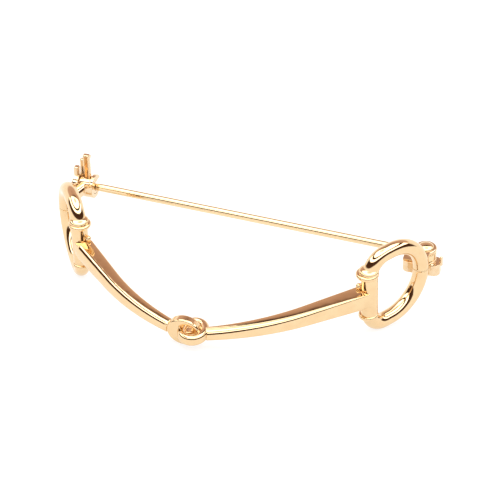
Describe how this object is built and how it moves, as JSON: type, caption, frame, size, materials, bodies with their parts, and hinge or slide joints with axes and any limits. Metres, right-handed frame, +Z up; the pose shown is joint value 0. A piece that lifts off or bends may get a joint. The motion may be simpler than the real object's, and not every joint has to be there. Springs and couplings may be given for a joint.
{
  "type": "stock pin",
  "caption": "Bar brooch shaped as a jointed D-ring snaffle bit, with a straight hinged pin wire behind it that a turning safety catch locks.",
  "frame": {"origin": "middle of the base of the bounding box, on the surface that the pin lies on", "axes": "+X from the catch to the hinge, +Y from the linked eyes to the pin wire, +Z up from the surface"},
  "size_m": [0.0808, 0.0414, 0.0228],
  "materials": {
    "gold_plated_casting": "polished gold plate",
    "gold_plated_wire": "polished gold plate",
    "gold_plated_catch": "polished gold plate"
  },
  "bodies": {
    "casting": {"bit_casting": "gold_plated_casting", "hinge_rivet": "gold_plated_wire"},
    "stem": {"pin_stem": "gold_plated_wire"},
    "catch": {"catch_sleeve": "gold_plated_catch"}
  },
  "joints": [
    {"name": "pin_swing", "type": "hinge", "parent": "casting", "child": "stem", "pos_m": [0.03692, 0.01686, 0.01332], "axis": [0, 0.2716, -0.9624], "range_deg": [0, 75]},
    {"name": "catch_turn", "type": "hinge", "parent": "casting", "child": "catch", "pos_m": [-0.03667, 0.01821, 0.01516], "axis": [-1, 0, 0], "range_deg": [0, 90]}
  ]
}
